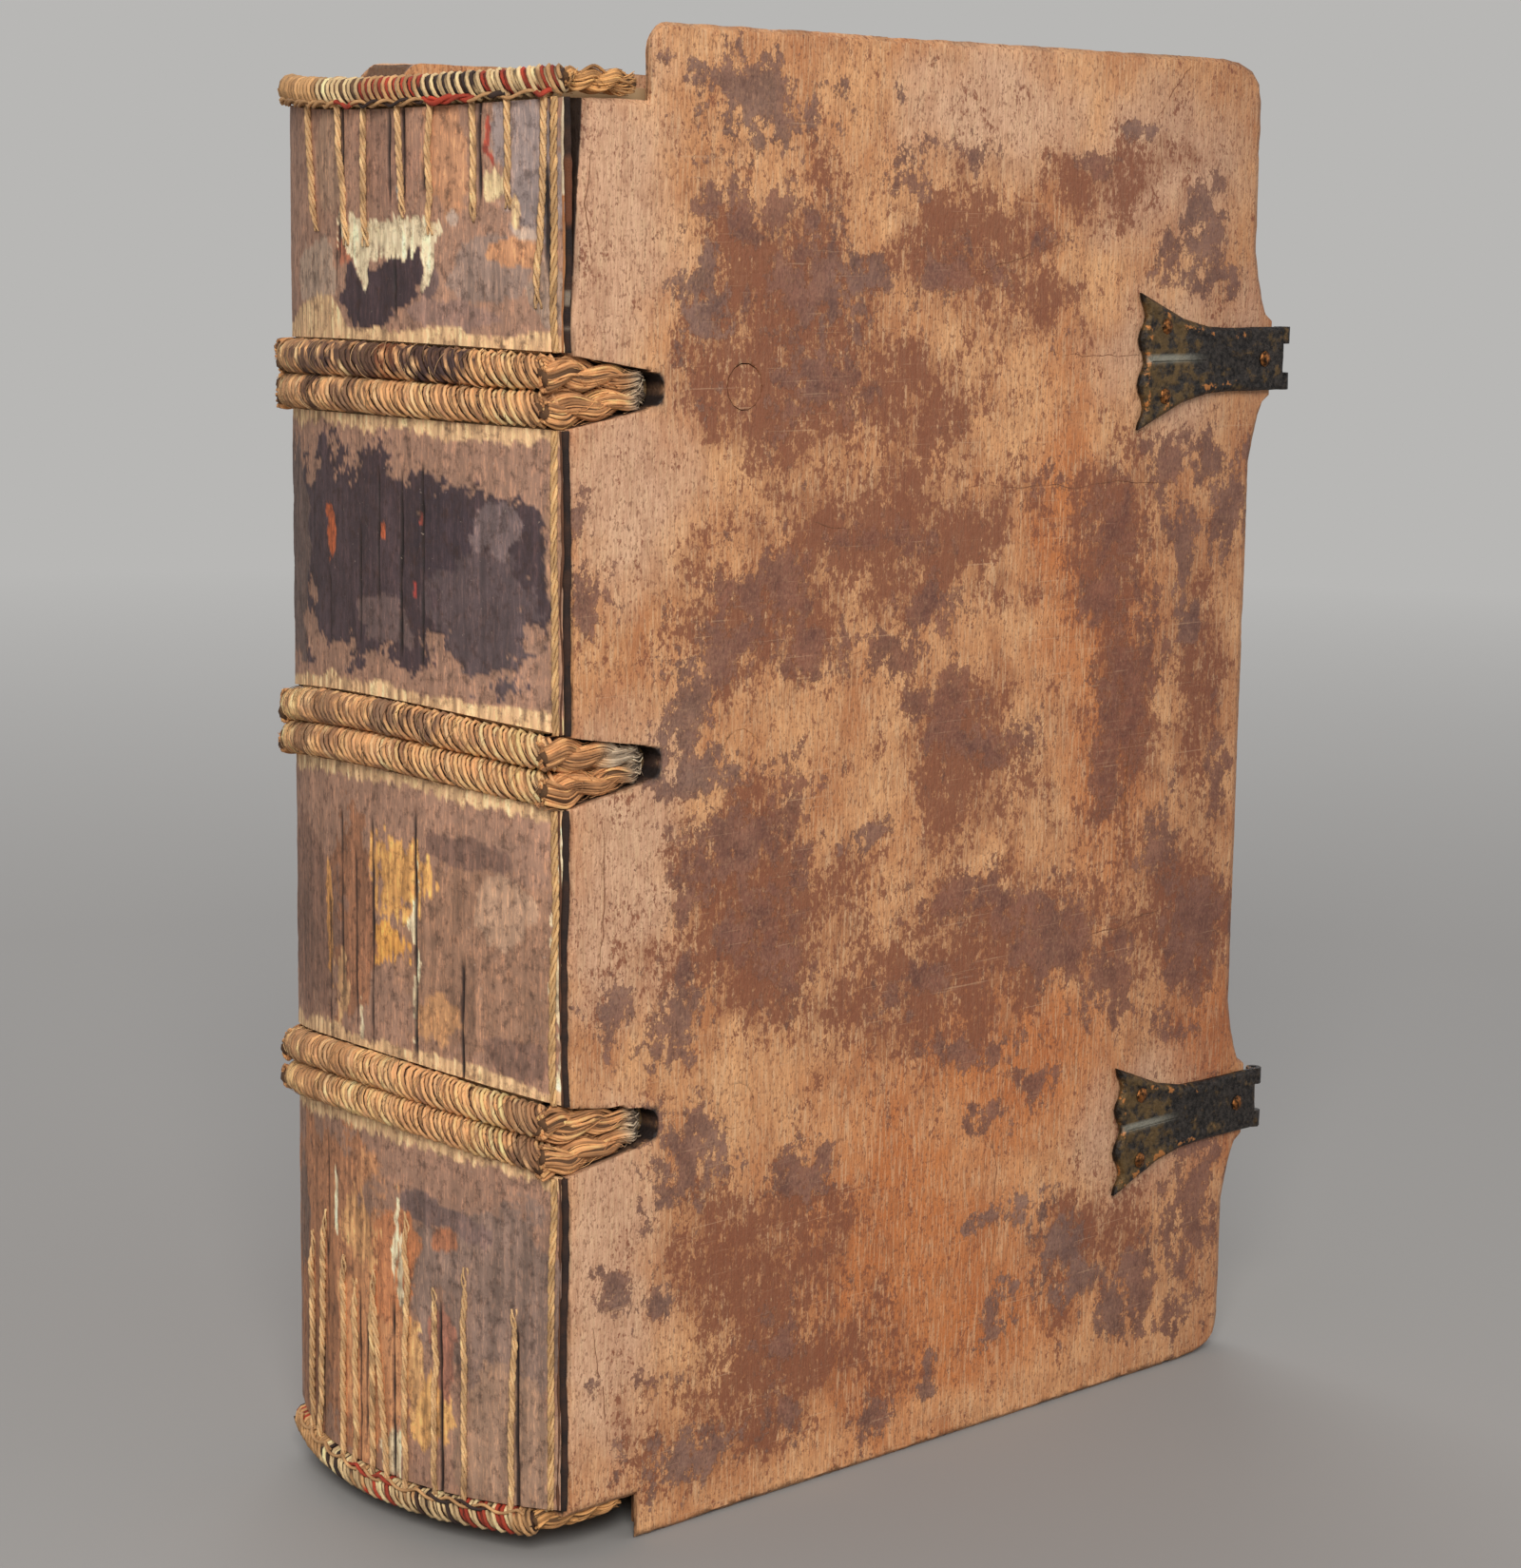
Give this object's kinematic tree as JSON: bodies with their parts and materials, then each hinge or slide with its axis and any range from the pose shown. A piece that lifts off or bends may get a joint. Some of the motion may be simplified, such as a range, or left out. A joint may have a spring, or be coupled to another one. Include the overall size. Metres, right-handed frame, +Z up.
{
  "type": "antique book",
  "caption": "Small antique book standing on its tail: bare wooden boards laced on raised double cords, wound endbands, riveted catches on the fore edge.",
  "frame": {"origin": "middle of the footprint, on the plane that the book stands on", "axes": "+Z up along the spine, the spine faces -X, the fore edge +X, the front board -Y"},
  "size_m": [0.125, 0.0517, 0.165],
  "materials": {
    "bare_wood": "matte",
    "leaves": "matte",
    "lining": "matte",
    "thread": "matte",
    "endband": "matte",
    "cord": "matte",
    "peg_wood": "matte",
    "pastedown": "matte",
    "dark_brass": "satin",
    "rivet_brass": "satin"
  },
  "bodies": {
    "book_block": {"headband": "endband", "spine_lining_1": "lining", "spine_lining_2": "lining", "spine_lining_3": "lining", "spine_lining_4": "lining", "tailband": "endband", "text_block": "leaves", "wound_cord_1_lower": "thread", "wound_cord_1_upper": "thread", "wound_cord_2_lower": "thread", "wound_cord_2_upper": "thread", "wound_cord_3_lower": "thread", "wound_cord_3_upper": "thread"},
    "front_cover": {"front_board": "bare_wood", "front_headband_core": "cord", "front_laced_end_1": "cord", "front_laced_end_2": "cord", "front_laced_end_3": "cord", "front_pastedown": "pastedown", "front_peg_1": "peg_wood", "front_peg_2": "peg_wood", "front_peg_3": "peg_wood", "front_slip_1_lower": "cord", "front_slip_1_upper": "cord", "front_slip_2_lower": "cord", "front_slip_2_upper": "cord", "front_slip_3_lower": "cord", "front_slip_3_upper": "cord", "front_tailband_core": "cord", "lower_catch": "dark_brass", "lower_catch_rivet_neck": "rivet_brass", "lower_catch_rivet_wing_lower": "rivet_brass", "lower_catch_rivet_wing_upper": "rivet_brass", "upper_catch": "dark_brass", "upper_catch_rivet_neck": "rivet_brass", "upper_catch_rivet_wing_lower": "rivet_brass", "upper_catch_rivet_wing_upper": "rivet_brass"},
    "back_cover": {"back_board": "bare_wood", "back_headband_core": "cord", "back_laced_end_1": "cord", "back_laced_end_2": "cord", "back_laced_end_3": "cord", "back_pastedown": "pastedown", "back_peg_1": "peg_wood", "back_peg_2": "peg_wood", "back_peg_3": "peg_wood", "back_slip_1_lower": "cord", "back_slip_1_upper": "cord", "back_slip_2_lower": "cord", "back_slip_2_upper": "cord", "back_slip_3_lower": "cord", "back_slip_3_upper": "cord", "back_tailband_core": "cord"}
  },
  "joints": [
    {"name": "front_board_hinge", "type": "hinge", "parent": "book_block", "child": "front_cover", "pos_m": [-0.0533, -0.02505, 0], "axis": [0, 0, -1], "range_deg": [0, 120]},
    {"name": "back_board_hinge", "type": "hinge", "parent": "book_block", "child": "back_cover", "pos_m": [-0.0533, 0.02505, 0], "axis": [0, 0, 1], "range_deg": [0, 120]}
  ]
}
